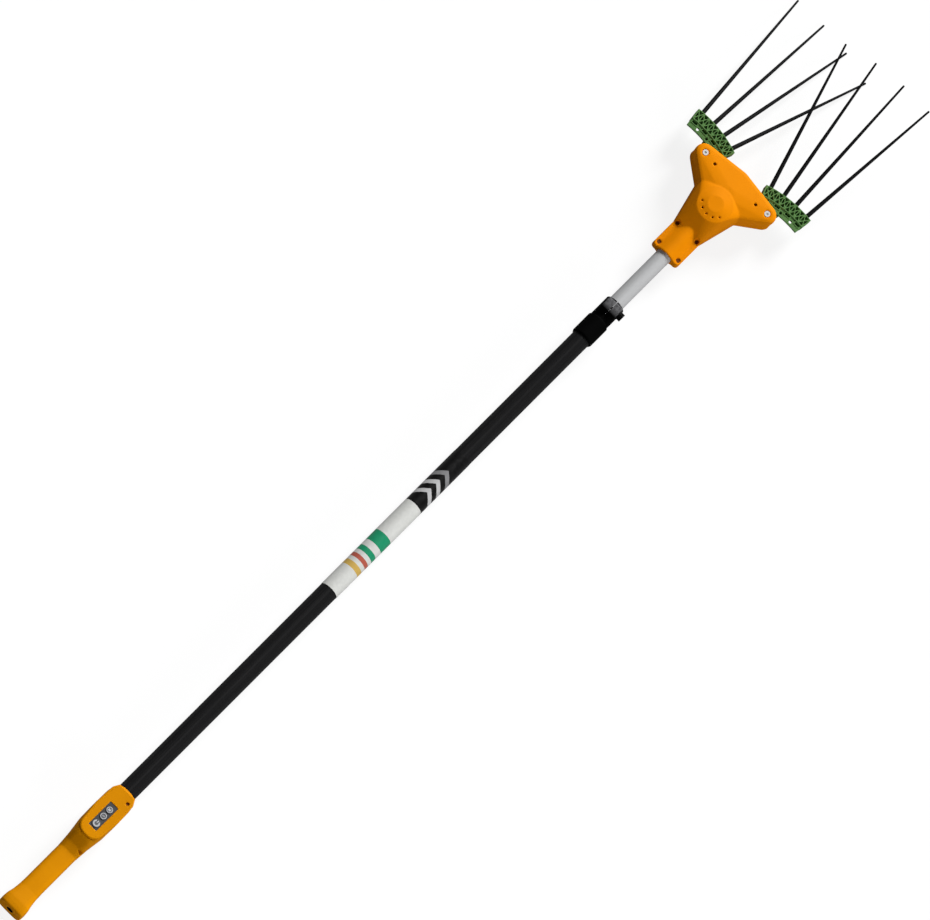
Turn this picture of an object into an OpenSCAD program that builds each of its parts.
// Electric olive harvester: a telescopic pole with a motor head that swings two rakes.
// +X runs along the pole from the grip to the rakes, +Z out of the control panel, +Y to the left.
// The origin is the mouth of the battery socket, on the pole's axis at the grip's end.

/* [Pole] */
// Outer diameter of the black pole tube
pole_od = 35; // [34:0.5:40]
// Wall of the pole tube
pole_wall = 1.5; // [1:0.1:1.8]
// Length of pole tube that shows between the grip and the collar
pole_show = 1161; // [900:1:1500]
// Length of pole tube held inside the grip
pole_held = 34; // [24:1:38]
// Outer diameter of the bright inner tube
inner_od = 29; // [25:0.5:29.5]
// Wall of the inner tube
inner_wall = 1.5; // [1:0.1:2.5]
// Length of inner tube that shows between the collar and the head
inner_show = 125; // [110:1:240]
// Length of inner tube hidden inside the pole
inner_hidden = 790; // [720:1:820]
// Number of grooves along the pole tube
flutes = 20; // [12:1:30]
// Start of the white band, from the end of the grip
band_start = 516; // [300:1:560]
// Length of the white band
white_len = 215; // [100:1:260]
// Length of the black band
black_len = 124; // [60:1:160]
// Thickness of the bands
band_t = 0.3; // [0.2:0.1:0.6]

/* [Collar] */
// Length of the sleeve over the pole tube
sleeve_len = 45; // [30:1:60]
// Length of the clamp over the inner tube
clamp_len = 43; // [36:1:60]
// Outer diameter of the sleeve
sleeve_od = 41.5; // [40.5:0.5:46]
// Outer diameter of the clamp
clamp_od = 37.5; // [35:0.5:41]
// Width of the slit
slit_w = 1.4; // [1:0.2:4]
// Length of each clamp lug along the pole
lug_len = 24; // [19:1:26]
// Height of the lugs above the axis
lug_top = 26; // [25.5:0.5:32]
// Half width across both lugs
lug_half = 16; // [14:0.5:17]
// Diameter of the clamp screw
clamp_screw_d = 5; // [4:0.5:5.5]
// Diameter of the clamp knob
knob_d = 15; // [12:0.5:17]
// Thickness of the clamp knob
knob_t = 9; // [6:0.5:12]

/* [Grip] */
// Length of the grip
grip_len = 294; // [286:1:310]
// Width of the grip where the hand holds it
grip_w = 39; // [37:0.5:43]
// Height of the grip where the hand holds it
grip_h = 31; // [30:0.5:36]
// Width of the butt
butt_w = 50; // [46:0.5:54]
// Height of the butt
butt_h = 36; // [35:0.5:42]
// Width of the control pod
pod_w = 53; // [51:0.5:58]
// Length of the control cover
pod_len = 112; // [108:1:116]
// Height of the cover's face above the axis
pod_top = 32; // [31:0.5:36]
// Depth of the pod below the axis
pod_low = 22; // [21:0.5:26]
// Thickness of the control cover
cover_t = 6; // [5.5:0.5:7]
// Radius of the hollow in the grip
hollow_r = 10.2; // [9:0.1:10.5]
// Outer diameter of the end cap
cap_d = 22; // [21.2:0.2:23]
// Thickness of the end cap
cap_t = 8; // [5:0.5:12]
// Diameter of the battery socket
socket_d = 10; // [8:0.5:10]
// Depth of the battery socket
socket_depth = 14; // [8:0.5:18]

/* [Buttons] */
// Radius of the power button
power_r = 7.2; // [6:0.1:7.4]
// Radius of the speed buttons
speed_r = 6.1; // [5:0.1:6.6]
// Travel of the buttons
button_travel = 1.2; // [0.6:0.1:1.3]
// Length of the keypad frame
keypad_len = 56; // [54:0.5:60]
// Width of the keypad frame
keypad_w = 18; // [17.6:0.2:20]

/* [Head] */
// Length of the neck
neck_len = 58; // [50:1:64]
// Width of the neck
neck_w = 60; // [58:1:66]
// Half thickness of the neck's flanges
flange_h = 9; // [8:0.5:11]
// Wall around the inner tube in the neck
neck_wall = 4.4; // [3.5:0.1:6]
// Distance from the neck's end to the motor axis
motor_x = 120; // [116:0.5:120]
// Distance from the neck's end to the rake pivots
pivot_x = 176.8; // [176:0.2:180]
// Distance from each pivot to the pole's axis
pivot_y = 74.3; // [72:0.1:80]
// Radius of the wing tips
tip_r = 18; // [17:0.5:20]
// Distance from the neck's end to the front edge
front_x = 204.5; // [204:0.5:210]
// Height of the wings' top face
head_top = 27; // [25:0.5:29]
// Depth of the wings' bottom face
head_low = 20; // [20:0.5:24]
// Wall of the head's shells
head_wall = 3; // [2:0.1:3]
// Height of the dome above the wings' edges
dome_rise = 10; // [9:0.5:14]
// Radius of the dome's flat top
dome_r = 16; // [15:0.5:18]
// Height of the dome's rim above the wings' edges
rim_rise = 6; // [5:0.5:8]
// Radius of the dome's rim
dome_rim = 32; // [30:0.5:34]
// Height of the wings' middle above their edges
crown_rise = 5; // [4:0.5:6]
// Radius of the flare round the dome
dome_foot = 43; // [42:0.5:45]
// Number of vents at the back of the dome
vents = 5; // [3:2:7]
// Radius of the vents
vent_r = 1.8; // [1:0.1:2.4]

/* [Drive] */
// Radius of the motor can
motor_r = 17.5; // [14:0.5:18]
// Gear module
gear_module = 1; // [0.9:0.05:1]
// Teeth on the pinion
pinion_teeth = 12; // [10:1:12]
// Teeth on the crank gear
gear_teeth = 60; // [56:1:60]
// Thickness of the crank gear
gear_t = 4.5; // [3:0.5:4.5]
// Length of the rocker levers
lever_len = 42; // [40:0.5:44]
// Swing of the rakes to each side of straight ahead
swing = 10; // [8:0.5:10]
// Swing of the rakes at rest, inwards
rest_swing = 7.2; // [5:0.1:8]
// Thickness of the drive yoke
yoke_t = 4.8; // [3:0.1:5]
// Diameter of the pivot bolts
bolt_d = 6; // [5:0.5:7]
// Radial clearance of turning fits
run_fit = 0.05; // [0.02:0.01:0.09]

/* [Rakes] */
// Length of tine that shows
tine_len = 287; // [200:1:340]
// Diameter of a tine at its root
tine_root_d = 8; // [6:0.2:9]
// Diameter of a tine at its tip
tine_tip_d = 3.6; // [2:0.2:5]
// Length of tine held in the comb
tine_held = 20; // [12:1:22]
// Angle between neighbouring tines
tine_step = 7.1; // [6.5:0.1:8]
// Tilt of the tines, down on the left and up on the right
tine_tilt = 6.7; // [4:0.1:8]
// Radius of the comb's front face
fan_r = 210; // [200:1:220]
// Turn of the fan outwards on its rake
fan_turn = 0.8; // [0:0.1:2]
// Distance from the pivot to the comb's front face
comb_reach = 52.2; // [51:0.1:60]
// Distance of the comb's middle outside its pivot
comb_off = 15.5; // [14:0.5:18]
// Depth of the comb's bar
bar_depth = 28; // [25:0.5:29]
// Height of the comb's bar
bar_h = 23; // [20:0.5:23]
// Width of the ledge behind the bar
ledge_w = 8; // [6:0.5:10]
// Thickness of the ledge
ledge_t = 3; // [2:0.5:4]
// Depth of the tine sockets behind the lattice
boss_run = 7; // [6:0.5:8]
// Thickness of the lattice ribs
rib = 1.8; // [1.4:0.1:2.4]

/* [Hidden] */
$fn = 48;
HULL_FN = 32;
SIDES = ["left", "right"];
TINES = 4;
CELLS = 8;

// Colours
orange = "#ee8f05";
black = "#1c1c1e";
green = "#5fae2e";
bright = "#c9cccf";
steel = "#9a9da1";
bronze = "#b08a4a";
white = "#f4f4f2";
lead_black = "#242424";

// Fits that pieces share
fit = 0.02;
gap = 0.3;
eps = 0.05;
big = 400;

// Places along the pole
collar_x = grip_len + pole_show;
clamp_x = collar_x + sleeve_len;
collar_end = clamp_x + clamp_len;
head_x = collar_end + inner_show;
inner_end = head_x + neck_len - 2;
inner_start = collar_end - inner_hidden;
pole_start = grip_len - pole_held;
pole_r = pole_od / 2;
pole_bore = pole_r - pole_wall;
inner_r = inner_od / 2;
inner_bore = inner_r - inner_wall;
lead_r = 2.2;
coil_r = 9;

// Places in the grip
pod_x = grip_len - pod_len - 2;
cover_seat = pod_top - cover_t;
keypad_x = pod_x + 46;
keypad_depth = 0.8;
keypad_t = 2.4;
keypad_low = pod_top - keypad_depth - keypad_t;
button_x = [keypad_x - 18, keypad_x, keypad_x + 15.6];
button_rs = [power_r, speed_r, speed_r];
button_flange = 0.9;
button_flange_t = 1.2;
pocket_x0 = pod_x + 8;
pocket_x1 = pole_start - 2;
pocket_half = 17;
board_z = cover_seat - 14;
board_t = 1.6;
board_ledge = 2;
switch_h = 6;
socket_wall = 2;
screw_head_r = 3;
screw_head_h = 2.6;
screw_r = 1.5;
// The grip sits a little low on the pole's axis
grip_drop = 2;
grip_low = -grip_h / 2 - grip_drop;
grip_high = grip_h / 2 - grip_drop;
butt_low = -butt_h / 2 - grip_drop;
butt_high = butt_h / 2 - grip_drop;
// Grip screws run across, as x and z of each
grip_screw_at = [[pod_x - 23, grip_high - 0.5], [32, grip_low + 6], [pod_x - 84, grip_low + 6]];
boss_r = 4;
screw_seat = 8;
cover_screw_at = [grip_len - 22, -14.5];

// Places in the head, from the neck's end
gear_x = motor_x + gear_module * (pinion_teeth + gear_teeth) / 2;
throw = lever_len * sin(swing);
rest_shift = lever_len * sin(rest_swing);
back_shift = throw - rest_shift;
fore_shift = throw + rest_shift;
rest_crank = acos(-rest_shift / throw);
floor_z = head_wall - head_low;
roof_z = head_top - head_wall;
dome_top = head_top + dome_rise;
rim_z = head_top + rim_rise;
crown = [motor_x + 30, 12];
flare_top = 12;
slot_top = 13;
lift = 0.2;
neck_r = inner_r + neck_wall;
edge = 7;
wing_rear = [motor_x + 20.4, 37, 12];
bow_r = 30;
slot_from = 27;
bearing_r = 8;
crank_shaft_r = 4;
bearing_top = floor_z + 3.6;
gear_low = bearing_top + gap + 0.1;
gear_high = gear_low + gear_t;
roller_r = 4;
roller_low = gear_high + 0.2;
roller_high = roller_low + 3.8;
yoke_low = roller_high + gap;
yoke_high = yoke_low + yoke_t;
lever_low = yoke_high + 0.8;
lever_t = 6;
hub_r = 13;
hub_low = -9;
hub_high = 9;
boss_gap = gap;
bush_r = bolt_d / 2 + 2;
pin_r = 3.5;
guide_x = pivot_x + 1.6;
guide_r = 3;
plate_low = gear_high + 1.4;
plate_t = 2;
motor_low = plate_low + plate_t;
motor_high = dome_top - head_wall - 1;
motor_crown = 5;
shaft_r = 2.5;
backlash = 0.07;
plate_post_at = [[motor_x - 14, 20], [motor_x - 14, -20]];
plate_post_r = 5;
neck_screw_at = [for (x = [9, neck_len - 2], s = [-1, 1]) [x, s * (neck_w / 2 - 7)]];
bolt_head_r = bolt_d / 2 + 2.2;
bolt_head_h = 3.4;
nut_r = bolt_d * 0.96;
nut_t = 4.5;
grease_r = 2.8;
grease_at = [pivot_x - 4, 49];

// Places in a rake, from its pivot
fan_x = comb_reach - fan_r;
bar_in = fan_r - bar_depth;
bar_half_angle = (TINES - 1) / 2 * tine_step + 2.75;
bar_low = -bar_h / 2;
ledge_top = bar_h / 2 - 2;
tine_root_r = tine_root_d / 2;

function sgnpow(v, p) = sign(v) * pow(abs(v), p);

// Superellipse ring at a station [x, half width, low, high, power]
function ring(st, n) = [for (i = [0 : n - 1])
    let (a = 360 * i / n, p = 2 / st[4])
    [st[0], st[1] * sgnpow(cos(a), p), (st[2] + st[3]) / 2 + (st[3] - st[2]) / 2 * sgnpow(sin(a), p)]];

module loft(stations, n) {
    rings = len(stations);
    points = [for (st = stations) each ring(st, n)];
    sides = [for (k = [0 : rings - 2], i = [0 : n - 1])
        let (j = (i + 1) % n, a = k * n, b = a + n)
        each [[a + i, b + i, b + j], [a + i, b + j, a + j]]];
    caps = [[for (i = [0 : n - 1]) i], [for (i = [0 : n - 1]) rings * n - 1 - i]];
    polyhedron(points, concat(caps, sides));
}

module along_x(x) {
    translate([x, 0, 0]) rotate([0, 90, 0]) children();
}

module along_y(x, y, z) {
    translate([x, y, z]) rotate([-90, 0, 0]) children();
}

module in_head() {
    translate([head_x, 0, 0]) children();
}

module tube(x0, x1, r_out, r_in) {
    along_x(x0) difference() {
        cylinder(r = r_out, h = x1 - x0);
        translate([0, 0, -eps]) cylinder(r = r_in, h = x1 - x0 + 2 * eps);
    }
}

// Grip

grip_stations = [
    [0, butt_w / 2 - 1.6, butt_low + 2.4, butt_high - 2.4, 4.2],
    [3, butt_w / 2 - 0.4, butt_low + 0.8, butt_high - 1.2, 4.2],
    [10, butt_w / 2, butt_low, butt_high - 0.3, 4.2],
    [18, butt_w / 2 - 0.6, butt_low, butt_high, 4.2],
    [31, (butt_w + grip_w) / 4 - 0.6, (butt_low + grip_low) / 2, (butt_high + grip_high) / 2, 4],
    [46, grip_w / 2 + 0.5, grip_low, grip_high, 4],
    [62, grip_w / 2, grip_low, grip_high, 4],
    [pod_x - 36, grip_w / 2, grip_low, grip_high, 4],
    [pod_x - 22, grip_w / 2 + 1, (grip_low - pod_low) / 2, grip_high + 4.6, 4],
    [pod_x - 5, pod_w / 2 - 4.6, -pod_low, pod_top - 4, 3.8],
    [pod_x + 6, pod_w / 2 - 3, -pod_low, pod_top + 1, 3.4],
    [pod_x + 24, pod_w / 2 - 0.6, -pod_low, pod_top + 2, 3.8],
    [pod_x + 56, pod_w / 2, -pod_low, pod_top + 2, 3.8],
    [grip_len - 24, pod_w / 2 - 0.6, -pod_low, pod_top + 2, 3.8],
    [grip_len - 12, pod_w / 2 - 3, -pod_low, pod_top + 1, 3.4],
    [grip_len - 7, pole_r + 3, -pole_r - 3, pole_r + 5, 2.6],
    [grip_len, pole_r + 2.4, -pole_r - 2.4, pole_r + 2.4, 2.2]];

module cover_outline(inset) {
    half = pod_w / 2 - inset;
    hull() {
        for (s = [-1, 1]) {
            translate([pod_x + inset + 18, s * (half - 22)]) circle(r = 18, $fn = HULL_FN);
            translate([pod_x + 56, s * (half - 24)]) circle(r = 24, $fn = HULL_FN);
            translate([grip_len - 20, s * (half - 10)]) circle(r = 8, $fn = HULL_FN);
        }
        translate([grip_len - 10 - inset, inset - 18]) square([4, 36 - 2 * inset]);
    }
}

module grip_hollow() {
    along_x(cap_t) cylinder(r = hollow_r, h = pocket_x1 - cap_t);
    along_x(-eps) cylinder(r = cap_d / 2 + fit, h = cap_t + 2 * eps);
    translate([pocket_x0, -pocket_half + board_ledge, -pod_low + 8])
        cube([pocket_x1 - pocket_x0, 2 * (pocket_half - board_ledge), board_z + pod_low - 8]);
    translate([pocket_x0, -pocket_half, board_z])
        cube([pocket_x1 - pocket_x0, 2 * pocket_half, cover_seat - board_z + eps]);
}

module grip_half(s) {
    color(orange) difference() {
        intersection() {
            loft(grip_stations, 28);
            translate([-eps, s > 0 ? 0 : -big, -big / 2]) cube([big, big, big]);
        }
        difference() {
            grip_hollow();
            for (p = grip_screw_at) along_y(p[0], -big / 2, p[1]) cylinder(r = boss_r, h = big);
        }
        translate([0, 0, cover_seat]) linear_extrude(20) cover_outline(0);
        along_x(pole_start) cylinder(r = pole_r + fit, h = pole_held + eps);
        along_x(pocket_x1 - eps) cylinder(r = pole_bore - 1, h = pole_start - pocket_x1 + 2 * eps);
        for (p = grip_screw_at) {
            along_y(p[0], -big / 2, p[1]) cylinder(r = screw_head_r + gap, h = big / 2 - screw_seat);
            along_y(p[0], -screw_seat - eps, p[1]) cylinder(r = screw_r + fit, h = 2 * screw_seat);
        }
        translate([cover_screw_at[0], cover_screw_at[1], cover_seat - 8]) cylinder(r = screw_r + fit, h = 9);
    }
}

module grip_screws() {
    color(steel) for (p = grip_screw_at) {
        along_y(p[0], -screw_seat - screw_head_h, p[1]) cylinder(r = screw_head_r, h = screw_head_h);
        along_y(p[0], -screw_seat, p[1]) cylinder(r = screw_r, h = 2 * screw_seat - 1);
    }
}

module panel_cover() {
    color(orange) difference() {
        hull() {
            translate([0, 0, cover_seat]) linear_extrude(cover_t - 2) cover_outline(0);
            translate([0, 0, cover_seat]) linear_extrude(cover_t - 0.6) cover_outline(0.6);
            translate([0, 0, cover_seat]) linear_extrude(cover_t) cover_outline(2);
        }
        translate([keypad_x - keypad_len / 2 - fit, -keypad_w / 2 - fit, keypad_low])
            cube([keypad_len + 2 * fit, keypad_w + 2 * fit, 9]);
        for (i = [0 : 2]) translate([button_x[i], 0, cover_seat - eps])
            cylinder(r = button_rs[i] + button_flange + gap, h = cover_t);
        translate([cover_screw_at[0], cover_screw_at[1], cover_seat - eps]) {
            cylinder(r = screw_r + 0.1, h = cover_t + 1);
            translate([0, 0, 2]) cylinder(r = screw_head_r + gap, h = cover_t);
        }
    }
}

module cover_screw() {
    color(steel) translate([cover_screw_at[0], cover_screw_at[1], cover_seat + 2 + eps]) {
        cylinder(r = screw_head_r, h = screw_head_h - 0.6);
        translate([0, 0, -9]) cylinder(r = screw_r, h = 9.5);
    }
}

module keypad_frame() {
    color("#33353a") difference() {
        translate([keypad_x - keypad_len / 2, -keypad_w / 2, keypad_low + eps])
            cube([keypad_len, keypad_w, keypad_t - eps]);
        for (i = [0 : 2]) translate([button_x[i], 0, keypad_low - 1])
            cylinder(r = button_rs[i] + gap, h = keypad_t + 2);
    }
}

module button(i) {
    r = button_rs[i];
    flange_z = keypad_low - 0.15 - button_flange_t;
    color("#c8cacc") translate([button_x[i], 0, 0]) {
        translate([0, 0, flange_z]) cylinder(r = r + button_flange, h = button_flange_t);
        translate([0, 0, flange_z]) cylinder(r = r, h = pod_top + 0.4 - flange_z);
        translate([0, 0, board_z + board_t + switch_h + button_travel + 0.2])
            cylinder(r = 2.5, h = flange_z - board_z - board_t - switch_h - button_travel);
    }
}

module control_board() {
    color("#1f6b3a") {
        translate([pocket_x0 + 1, -pocket_half + gap, board_z])
            cube([pocket_x1 - pocket_x0 - 2, 2 * (pocket_half - gap), board_t]);
        for (x = button_x) translate([x, 0, board_z]) cylinder(r = 3, h = board_t + switch_h);
    }
}

module end_cap() {
    color(orange) along_x(0) difference() {
        cylinder(r = cap_d / 2, h = cap_t);
        translate([0, 0, -eps]) cylinder(r = socket_d / 2 + socket_wall + fit, h = cap_t + 2 * eps);
    }
}

module battery_socket() {
    color(black) along_x(0) difference() {
        union() {
            cylinder(r = socket_d / 2 + socket_wall, h = socket_depth + 8);
            translate([0, 0, cap_t]) cylinder(r = hollow_r - 0.5, h = 3);
        }
        translate([0, 0, -eps]) cylinder(r = socket_d / 2, h = socket_depth + eps);
    }
}

module supply_lead() {
    start = socket_depth + 8;
    turn = pocket_x0 + 6;
    color(lead_black) {
        along_x(start) cylinder(r = lead_r, h = turn - start);
        translate([turn, 0, 0]) sphere(r = lead_r);
        translate([turn, 0, 0]) cylinder(r = lead_r, h = board_z);
    }
}

// Pole

module outer_tube() {
    color(black) along_x(pole_start) difference() {
        linear_extrude(clamp_x - pole_start) difference() {
            circle(r = pole_r);
            for (i = [0 : flutes - 1]) rotate(360 * (i + 0.5) / flutes)
                translate([pole_r + 0.5, 0]) circle(r = 1);
        }
        translate([0, 0, -eps]) cylinder(r = pole_bore, h = clamp_x - pole_start + 2 * eps);
    }
}

module white_band() {
    start = grip_len + band_start;
    color(white) tube(start, start + white_len, pole_r + 3 * fit + band_t, pole_r + 3 * fit);
}

module black_band() {
    start = grip_len + band_start + white_len;
    color("#101012") tube(start, start + black_len, pole_r + 3 * fit + band_t, pole_r + 3 * fit);
}

// The lugs' middle, and the height of the clamp screw above the axis
lug_mid = collar_end - 5 - lug_len / 2;
clamp_z = (inner_r + lug_top) / 2;

module clamp_collar() {
    lug_step = 1.2;
    color(black) difference() {
        union() {
            along_x(collar_x) {
                cylinder(r1 = sleeve_od / 2 - 1.5, r2 = sleeve_od / 2, h = 3);
                translate([0, 0, 3]) cylinder(r = sleeve_od / 2, h = sleeve_len - 5);
                translate([0, 0, sleeve_len - 2]) cylinder(r1 = sleeve_od / 2, r2 = clamp_od / 2, h = 2);
                translate([0, 0, sleeve_len]) cylinder(r = clamp_od / 2, h = clamp_len);
            }
            translate([lug_mid - lug_len / 2, -lug_half, 0])
                cube([lug_len, 2 * lug_half, lug_top - lug_step]);
            translate([lug_mid - lug_len / 2 + lug_step, lug_step - lug_half, 0])
                cube([lug_len - 2 * lug_step, 2 * (lug_half - lug_step), lug_top]);
        }
        along_x(collar_x - eps) cylinder(r = pole_r + fit, h = sleeve_len + eps);
        along_x(clamp_x - eps) cylinder(r = inner_r + run_fit, h = clamp_len + 2 * eps);
        translate([lug_mid - lug_len / 2 - 3, -slit_w / 2, 0]) cube([clamp_len, slit_w, lug_top + 1]);
        along_y(lug_mid, -big / 2, clamp_z) cylinder(r = clamp_screw_d / 2 + run_fit, h = big);
        along_y(lug_mid, lug_half - 5, clamp_z) cylinder(r = clamp_screw_d * 0.96 + fit, h = 9, $fn = 6);
    }
}

module clamp_screw() {
    ribs = 18;
    color(black) difference() {
        union() {
            along_y(lug_mid, -lug_half - gap - knob_t, clamp_z) cylinder(r = knob_d / 2, h = knob_t);
            along_y(lug_mid, -lug_half - gap - 1, clamp_z)
                cylinder(r = clamp_screw_d / 2, h = 2 * lug_half - 1);
        }
        for (i = [0 : ribs - 1]) along_y(lug_mid, -lug_half - gap - knob_t - eps, clamp_z)
            rotate(360 * i / ribs) translate([knob_d / 2 + 0.3, 0, 0]) cylinder(r = 0.9, h = knob_t - 2);
    }
}

module clamp_nut() {
    color(steel) along_y(lug_mid, lug_half - 5, clamp_z) difference() {
        cylinder(r = clamp_screw_d * 0.96, h = 4.5, $fn = 6);
        translate([0, 0, -eps]) cylinder(r = clamp_screw_d / 2 + run_fit, h = 5);
    }
}

module coil_lead() {
    tail = pocket_x1 - 8;
    coil_start = grip_len + 6;
    coil_end = inner_start - 14;
    color(lead_black) {
        translate([tail, 0, 0]) cylinder(r = lead_r, h = board_z);
        translate([tail, 0, 0]) sphere(r = lead_r);
        along_x(tail) cylinder(r = lead_r, h = inner_start - tail);
        along_x(coil_start) cylinder(r = coil_r, h = coil_end - coil_start);
    }
}

module inner_tube() {
    color(bright) tube(inner_start, inner_end, inner_r, inner_bore);
}

module tail_bush() {
    bush_len = 24;
    color("#d8d4c8") along_x(inner_start) difference() {
        union() {
            translate([0, 0, -6]) cylinder(r = pole_bore - 0.15, h = 6);
            cylinder(r = inner_bore - fit, h = bush_len - 6);
        }
        translate([0, 0, -6 - eps]) cylinder(r = lead_r + fit, h = bush_len + 2 * eps);
    }
}

// Head shells

// A disc with round edges, from low to high
module puck(x, y, r, low, high, f) {
    soft = 0.29;
    translate([x, y, low]) {
        cylinder(r = r - f, h = high - low, $fn = HULL_FN);
        translate([0, 0, soft * f]) cylinder(r = r - soft * f, h = high - low - 2 * soft * f, $fn = HULL_FN);
        translate([0, 0, f]) cylinder(r = r, h = high - low - 2 * f, $fn = HULL_FN);
    }
}

module wing_form(inset, low, high, f) {
    hull() {
        for (s = [-1, 1]) {
            puck(pivot_x, s * pivot_y, tip_r - inset, low, high, f);
            puck(wing_rear[0], s * wing_rear[1], wing_rear[2] - inset, low, high, f);
        }
        puck(front_x - bow_r, 0, bow_r - inset, low, high, f);
        translate([crown[0], 0, high + crown_rise - 1]) cylinder(r = crown[1] - inset, h = 1, $fn = HULL_FN);
    }
}

module head_form() {
    wing_form(0, -head_low, head_top, edge);
    hull() {
        for (s = [-1, 1]) {
            puck(neck_len + 2, s * (neck_w / 2 - 8), 8, -flange_h - 4, flange_h + 4, 3);
            puck(wing_rear[0], s * wing_rear[1], wing_rear[2] - lift, lift - head_low, head_top - lift, edge);
        }
        puck(motor_x, 0, dome_foot, -head_low, flare_top, edge);
        translate([motor_x, 0, rim_z - 1]) cylinder(r = dome_rim, h = 1, $fn = HULL_FN);
    }
    translate([motor_x, 0, rim_z - lift]) {
        cylinder(r1 = dome_rim - 2 * lift, r2 = dome_r, h = dome_rise - rim_rise - lift);
        cylinder(r = dome_r - 1, h = dome_rise - rim_rise + lift);
    }
    hull() {
        along_x(0) cylinder(r = neck_r, h = neck_len + 24, $fn = HULL_FN);
        translate([0, 4 - neck_w / 2, 4 - flange_h]) cube([neck_len + 8, neck_w - 8, 2 * flange_h - 8]);
    }
    translate([0, 0, -flange_h]) linear_extrude(2 * flange_h) {
        translate([0, 6 - neck_w / 2]) square([neck_len + 8, neck_w - 12]);
        translate([6, -neck_w / 2]) square([neck_len + 2, neck_w]);
        for (s = [-1, 1]) translate([6, s * (neck_w / 2 - 6)]) circle(r = 6);
    }
}

module head_hollow() {
    dome_in = dome_foot - 1.5 * head_wall;
    rim_in = dome_rim - 1.5 * head_wall;
    along_x(-eps) cylinder(r = inner_r + fit, h = neck_len);
    along_x(neck_len - 3) cylinder(r = inner_bore, h = motor_x - neck_len);
    wing_form(head_wall, floor_z, roof_z, 2);
    translate([motor_x, 0, floor_z]) cylinder(r = dome_in, h = flare_top - head_wall - floor_z);
    translate([motor_x, 0, flare_top - head_wall - 1])
        cylinder(r1 = dome_in - 1, r2 = rim_in, h = rim_z - flare_top + 1);
    translate([motor_x, 0, rim_z - head_wall - 0.5])
        cylinder(r1 = rim_in - 0.5, r2 = dome_r - head_wall, h = dome_rise - rim_rise + 0.5);
    for (s = [-1, 1])
        translate([pivot_x - 3, s > 0 ? slot_from : -slot_from - big, floor_z])
            cube([big, big, slot_top - floor_z]);
}

module upper_bosses() {
    for (s = [-1, 1]) translate([pivot_x, s * pivot_y, hub_high + boss_gap])
        cylinder(r = 9, h = head_top - hub_high - boss_gap - 1);
    translate([guide_x, 0, yoke_low]) cylinder(r = guide_r, h = head_top + 1 - yoke_low);
}

module lower_bosses() {
    for (s = [-1, 1]) translate([pivot_x, s * pivot_y, 1 - head_low])
        cylinder(r = 9, h = head_low - 1 + hub_low - boss_gap);
    for (p = plate_post_at) translate([p[0], p[1], floor_z - 1])
        cylinder(r = plate_post_r, h = plate_low - floor_z + 1);
    translate([gear_x, 0, floor_z - 1]) cylinder(r = bearing_r + 2.5, h = bearing_top - floor_z + 1);
}

module head_bores() {
    for (s = [-1, 1]) translate([pivot_x, s * pivot_y, 0]) {
        translate([0, 0, -big / 2]) cylinder(r = bolt_d / 2 + fit, h = big);
        translate([0, 0, head_top - 3]) cylinder(r = bolt_head_r + 0.8, h = 20);
        translate([0, 0, -head_low - 20]) cylinder(r = nut_r + 0.1, h = 20 + nut_t + 0.5, $fn = 6);
    }
    for (p = neck_screw_at) translate([p[0], p[1], 0]) {
        translate([0, 0, -flange_h + 2]) cylinder(r = screw_r + 0.4 + fit, h = big / 4);
        translate([0, 0, flange_h - 4]) cylinder(r = screw_head_r + 1, h = 30);
    }
    for (s = [-1, 1]) translate([grease_at[0], s * grease_at[1], 0]) cylinder(r = grease_r, h = dome_top);
    for (i = [0 : vents - 1]) translate([motor_x, 0, 0]) rotate(180 + 30 * (i - (vents - 1) / 2))
        translate([(dome_r + dome_rim) / 2, 0, roof_z]) cylinder(r = vent_r, h = dome_rise + 8);
    for (p = plate_post_at) translate([p[0], p[1], floor_z]) cylinder(r = screw_r + fit, h = 30 - head_low);
    translate([gear_x, 0, floor_z]) cylinder(r = bearing_r + fit, h = bearing_top - floor_z + eps);
}

module shell(s) {
    color(orange) in_head() difference() {
        union() {
            intersection() {
                difference() {
                    head_form();
                    head_hollow();
                }
                translate([-eps, -big / 2, s > 0 ? 0 : -big]) cube([big, big, big]);
            }
            if (s > 0) upper_bosses();
            else lower_bosses();
        }
        head_bores();
    }
}

module neck_screws() {
    seat = flange_h - 4;
    color(steel) in_head() for (p = neck_screw_at) translate([p[0], p[1], seat]) {
        cylinder(r = screw_head_r + 0.6, h = screw_head_h);
        translate([0, 0, 3 - seat - flange_h]) cylinder(r = screw_r + 0.4, h = seat + flange_h - 2);
    }
}

// Drive

module motor_can() {
    color(bright) in_head() translate([motor_x, 0, motor_low]) difference() {
        union() {
            cylinder(r = motor_r, h = motor_high - motor_low - motor_crown);
            cylinder(r = 6, h = motor_high - motor_low);
        }
        translate([0, 0, -eps]) cylinder(r = shaft_r + run_fit, h = 18);
    }
}

module motor_plate() {
    color(steel) in_head() translate([0, 0, plate_low]) difference() {
        linear_extrude(plate_t) {
            translate([motor_x, 0]) circle(r = motor_r);
            translate([motor_x - 19, -25]) square([15, 50]);
        }
        translate([motor_x, 0, -eps]) cylinder(r = shaft_r + 1, h = plate_t + 2 * eps);
        for (p = plate_post_at) translate([p[0], p[1], -eps])
            cylinder(r = screw_r + 0.1, h = plate_t + 2 * eps);
    }
}

module plate_screws() {
    color(steel) in_head() for (p = plate_post_at) translate([p[0], p[1], plate_low + plate_t]) {
        cylinder(r = screw_head_r, h = 2);
        translate([0, 0, floor_z - plate_low - plate_t + 1])
            cylinder(r = screw_r, h = plate_low - floor_z + plate_t);
    }
}

module motor_shaft() {
    color(steel) in_head() translate([motor_x, 0, gear_low - 1])
        cylinder(r = shaft_r, h = motor_low + 16 - gear_low);
}

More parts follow.
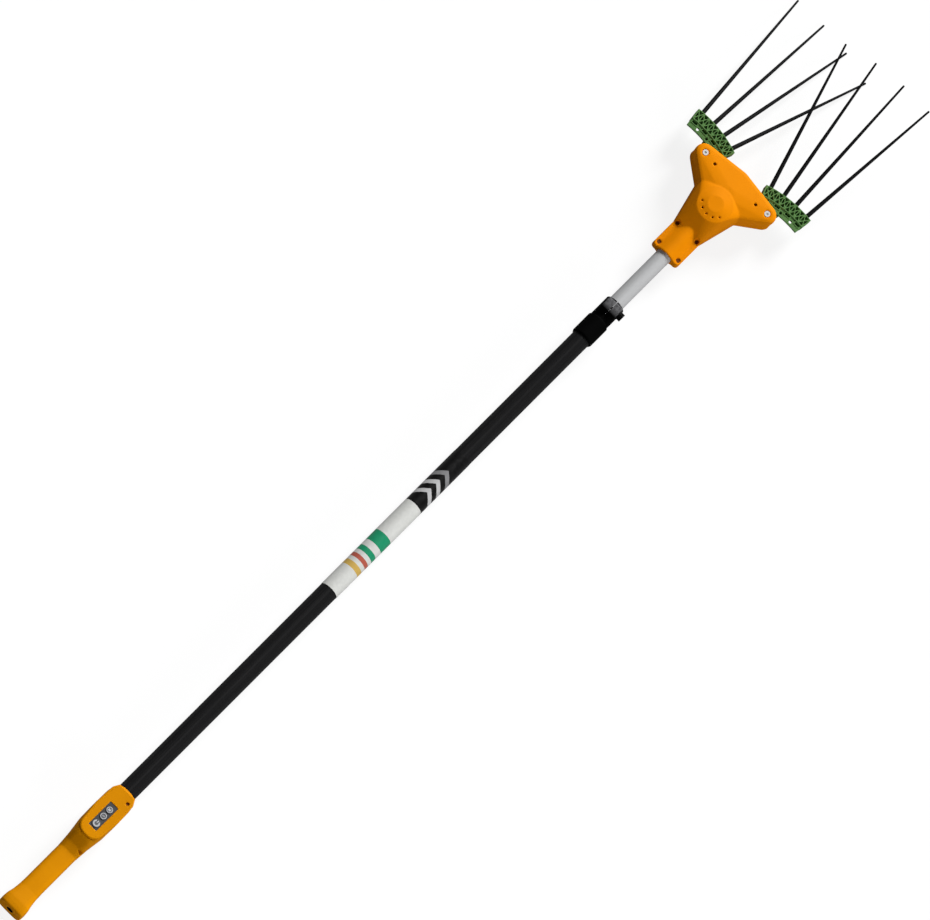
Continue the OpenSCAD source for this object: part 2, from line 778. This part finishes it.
// Half angle of a tooth at a radius, on an involute flank
function tooth_half(teeth, r) = let (pitch = gear_module * teeth / 2,
    a = acos(min(1, pitch * cos(20) / r)))
    90 / teeth - backlash / pitch * 180 / PI + involute(20) - involute(a);

function involute(a) = tan(a) * 180 / PI - a;

// Toothed wheel with a tooth along +X when turned by 0
module wheel(teeth, tip_add, t) {
    pitch = gear_module * teeth / 2;
    root = pitch - 1.22 * gear_module;
    tip = pitch + tip_add * gear_module;
    base = max(root + 0.2, pitch * cos(20));
    radii = [for (k = [0 : 4]) base + (tip - base) * k / 4];
    flank = [for (r = radii) [r, tooth_half(teeth, r)]];
    foot = [root, tooth_half(teeth, base) * (base > root + 0.21 ? 0.82 : 1.1)];
    half = concat([foot], flank);
    profile = concat([for (c = half) [c[0], -c[1]]], [for (k = [len(half) - 1 : -1 : 0]) half[k]]);
    linear_extrude(t) polygon([for (i = [0 : teeth - 1], c = profile)
        let (a = i * 360 / teeth + c[1]) [c[0] * cos(a), c[0] * sin(a)]]);
}

module motor_pinion() {
    color(bronze) in_head() translate([motor_x, 0, gear_low]) difference() {
        rotate(180 / pinion_teeth) wheel(pinion_teeth, 0.95, gear_t);
        translate([0, 0, -eps]) cylinder(r = shaft_r + fit, h = gear_t + 2 * eps);
    }
}

module crank_gear() {
    color(bronze) in_head() translate([gear_x, 0, gear_low]) difference() {
        union() {
            rotate(180) wheel(gear_teeth, 0.68, gear_t);
            rotate(rest_crank) translate([throw, 0, 0])
                cylinder(r = roller_r - 1.5, h = roller_high - gear_low);
        }
        translate([0, 0, -eps]) cylinder(r = crank_shaft_r + fit, h = gear_t + 2 * eps);
    }
}

module crank_roller() {
    color(steel) in_head() translate([gear_x, 0, roller_low]) rotate(rest_crank) translate([throw, 0, 0])
        difference() {
            cylinder(r = roller_r, h = roller_high - roller_low);
            translate([0, 0, -eps])
                cylinder(r = roller_r - 1.5 + fit, h = roller_high - roller_low + 2 * eps);
        }
}

module crank_shaft() {
    color(steel) in_head() translate([gear_x, 0, floor_z + gap]) {
        cylinder(r = crank_shaft_r, h = gear_high - floor_z - gap);
    }
}

module crank_bearing() {
    color(steel) in_head() translate([gear_x, 0, floor_z + eps]) difference() {
        cylinder(r = bearing_r, h = bearing_top - floor_z - eps);
        translate([0, 0, -eps]) cylinder(r = crank_shaft_r + run_fit, h = 9);
    }
}

module drive_yoke() {
    bar_x = pivot_x - rest_shift;
    crank_x = gear_x - rest_shift;
    slot_r = roller_r + run_fit;
    bar_half = pivot_y - lever_len + pin_r + 5;
    pin_y = pivot_y - lever_len * cos(rest_swing);
    color(steel) in_head() translate([0, 0, yoke_low]) difference() {
        linear_extrude(yoke_t) {
            translate([crank_x - slot_r - 4.5, -throw - slot_r - 4])
                square([2 * slot_r + 9, 2 * (throw + slot_r + 4)]);
            translate([crank_x, -guide_r - run_fit - 4])
                square([guide_x + back_shift + guide_r + 3 - crank_x, 2 * (guide_r + run_fit + 4)]);
            translate([bar_x - 9, -bar_half]) square([18, 2 * bar_half]);
        }
        translate([crank_x - slot_r, -throw - slot_r, -eps])
            cube([2 * slot_r, 2 * (throw + slot_r), yoke_t + 2 * eps]);
        translate([guide_x - fore_shift - guide_r - gap, -guide_r - run_fit, -eps])
            cube([throw * 2 + 2 * guide_r + 2 * gap, 2 * (guide_r + run_fit), yoke_t + 2 * eps]);
        for (s = [-1, 1])
            translate([bar_x - pin_r - run_fit, s * pin_y - pin_r - 1.4, -eps])
            cube([2 * (pin_r + run_fit), 2 * pin_r + 2.8, yoke_t + 2 * eps]);
    }
}

module pivot_bolts() {
    color(bright) in_head() for (s = [-1, 1]) translate([pivot_x, s * pivot_y, head_top - 3]) difference() {
        union() {
            cylinder(r = bolt_head_r, h = bolt_head_h);
            translate([0, 0, 4 - head_top - head_low])
                cylinder(r = bolt_d / 2, h = head_low + head_top - 3.5);
        }
        translate([0, 0, bolt_head_h - 2]) cylinder(r = bolt_d / 2 - 0.5, h = 3, $fn = 6);
    }
}

module pivot_nuts() {
    color(steel) in_head() for (s = [-1, 1]) translate([pivot_x, s * pivot_y, 0.5 - head_low]) difference() {
        cylinder(r = nut_r, h = nut_t, $fn = 6);
        translate([0, 0, -eps]) cylinder(r = bolt_d / 2 + fit, h = nut_t + 2 * eps);
    }
}

module motor_lead() {
    color(lead_black) along_x(inner_start) cylinder(r = lead_r, h = head_x + motor_x - motor_r - inner_start);
}

// Rakes, drawn for the left side about the pivot and mirrored for the right

module rake_place(side) {
    mirror([0, side == "left" ? 0 : 1, 0])
        translate([head_x + pivot_x, pivot_y, 0]) rotate(-rest_swing) children();
}

function tine_angle(i) = fan_turn + ((TINES + 1) / 2 - i) * tine_step;

// Frame at a tine's root on the front face, with +Z out along the tine
module tine_place(side, i) {
    tilt = side == "left" ? tine_tilt : -tine_tilt;
    translate([fan_x, comb_off, 0]) rotate(tine_angle(i))
        translate([fan_r, 0, 0]) rotate([0, 90 + tilt, 0]) children();
}

module fan_sector(r0, r1, low, high) {
    translate([fan_x, comb_off, 0]) rotate(fan_turn - bar_half_angle)
        rotate_extrude(angle = 2 * bar_half_angle, $fn = 96) translate([r0, low])
            square([r1 - r0, high - low]);
}

function fan_point(r, a) = [fan_x + r * cos(a), comb_off + r * sin(a)];

// Triangle with each side moved in by d, to leave ribs between neighbours
function shrunk(p, d) = let (a = norm(p[1] - p[2]), b = norm(p[2] - p[0]), c = norm(p[0] - p[1]),
    middle = (a * p[0] + b * p[1] + c * p[2]) / (a + b + c),
    area = abs(cross(p[1] - p[0], p[2] - p[0])) / 2,
    k = max(0.1, 1 - d * (a + b + c) / (2 * area)))
    [for (q = p) middle + (q - middle) * k];

module lattice() {
    r0 = bar_in + boss_run + rib / 2;
    r1 = fan_r - rib / 2;
    span = bar_half_angle - 0.4;
    cell = 2 * span / CELLS;
    for (i = [0 : CELLS - 1]) {
        a = fan_turn - span + i * cell;
        corners = [fan_point(r0, a), fan_point(r0, a + cell), fan_point(r1, a + cell), fan_point(r1, a)];
        centre = (corners[0] + corners[1] + corners[2] + corners[3]) / 4;
        for (k = [0 : 3]) polygon(shrunk([corners[k], corners[(k + 1) % 4], centre], rib / 2));
    }
}

module comb(side) {
    depth = bar_h / 2 - tine_root_r - tine_held * sin(tine_tilt) - 0.8;
    boss_w = tine_root_d + 5;
    color(green) rake_place(side) difference() {
        union() {
            fan_sector(bar_in + boss_run, fan_r, bar_low, bar_h / 2);
            fan_sector(bar_in - ledge_w, bar_in + boss_run + 1, ledge_top - ledge_t, ledge_top);
            for (i = [1 : TINES]) translate([fan_x, comb_off, bar_low]) rotate(tine_angle(i))
                translate([bar_in, -boss_w / 2, 0]) cube([boss_run + 2, boss_w, bar_h - 1]);
            translate([0, 0, hub_low]) cylinder(r = hub_r, h = lever_low - hub_low);
            translate([0, 0, hub_low]) linear_extrude(lever_low - hub_low)
                polygon([[0, hub_r], [bar_in + boss_run + fan_x + 3, comb_off + 8],
                    [bar_in + boss_run + fan_x + 3, comb_off - 30], [0, -hub_r]]);
        }
        for (z = [bar_low - eps, bar_h / 2 - depth])
            translate([0, 0, z]) linear_extrude(depth + eps) lattice();
        translate([0, 0, -big / 2]) cylinder(r = bush_r + fit, h = big);
        for (i = [1 : TINES]) {
            tine_place(side, i) translate([0, 0, -tine_held - gap]) cylinder(r = tine_root_r + fit, h = big);
            translate([fan_x, comb_off, 3]) rotate(tine_angle(i))
                translate([bar_in + 1.6, -boss_w / 2 + 1.4, 0]) cube([4.4, boss_w - 2.8, bar_h]);
        }
        for (i = [1 : TINES - 1])
            translate([fan_x, comb_off, ledge_top - ledge_t - 1]) rotate(tine_angle(i) - tine_step / 2)
            translate([bar_in - 1.5, 0, 0]) cylinder(r = 2.6, h = ledge_t + 2);
    }
}

module tine(side, i) {
    color(black) rake_place(side) tine_place(side, i) {
        translate([0, 0, -tine_held]) cylinder(r = tine_root_r, h = tine_held);
        cylinder(r1 = tine_root_r, r2 = tine_tip_d / 2, h = tine_len - tine_tip_d / 2);
        translate([0, 0, tine_len - tine_tip_d / 2]) sphere(r = tine_tip_d / 2);
    }
}

module pivot_bush(side) {
    color(bronze) rake_place(side) translate([0, 0, hub_low]) difference() {
        cylinder(r = bush_r, h = hub_high - hub_low);
        translate([0, 0, -eps]) cylinder(r = bolt_d / 2 + run_fit, h = hub_high - hub_low + 2 * eps);
    }
}

module lever(side) {
    color(steel) rake_place(side) translate([0, 0, lever_low]) difference() {
        union() {
            cylinder(r = hub_r - 1, h = hub_high - lever_low);
            translate([-5, -lever_len, 0]) cube([10, lever_len, lever_t]);
            translate([0, -lever_len, 0]) cylinder(r = pin_r + 2, h = lever_t);
        }
        translate([0, 0, -eps]) cylinder(r = bush_r + fit, h = hub_high);
        translate([0, -lever_len, -eps]) cylinder(r = pin_r - 1 + fit, h = lever_t + 2 * eps);
    }
}

module drive_pin(side) {
    color(bright) rake_place(side) translate([0, -lever_len, yoke_low - gap]) {
        cylinder(r = pin_r, h = lever_low - yoke_low + gap);
        cylinder(r = pin_r - 1, h = lever_low + lever_t - yoke_low + gap);
    }
}

grip_half(1);  // grip_left
grip_half(-1);  // grip_right
panel_cover();
cover_screw();
keypad_frame();
button(0);  // button_power
button(1);  // button_minus
button(2);  // button_plus
control_board();
end_cap();
battery_socket();
grip_screws();
supply_lead();
outer_tube();
white_band();
black_band();
clamp_collar();
clamp_screw();
clamp_nut();
coil_lead();
inner_tube();
tail_bush();
shell(1);  // upper_shell
shell(-1);  // lower_shell
neck_screws();
motor_can();
motor_plate();
plate_screws();
motor_shaft();
motor_pinion();
crank_gear();
crank_shaft();
crank_bearing();
crank_roller();
drive_yoke();
pivot_bolts();
pivot_nuts();
motor_lead();
for (side = SIDES) {
    comb(side);
    pivot_bush(side);
    lever(side);
    drive_pin(side);
    for (i = [1 : TINES]) tine(side, i);
}
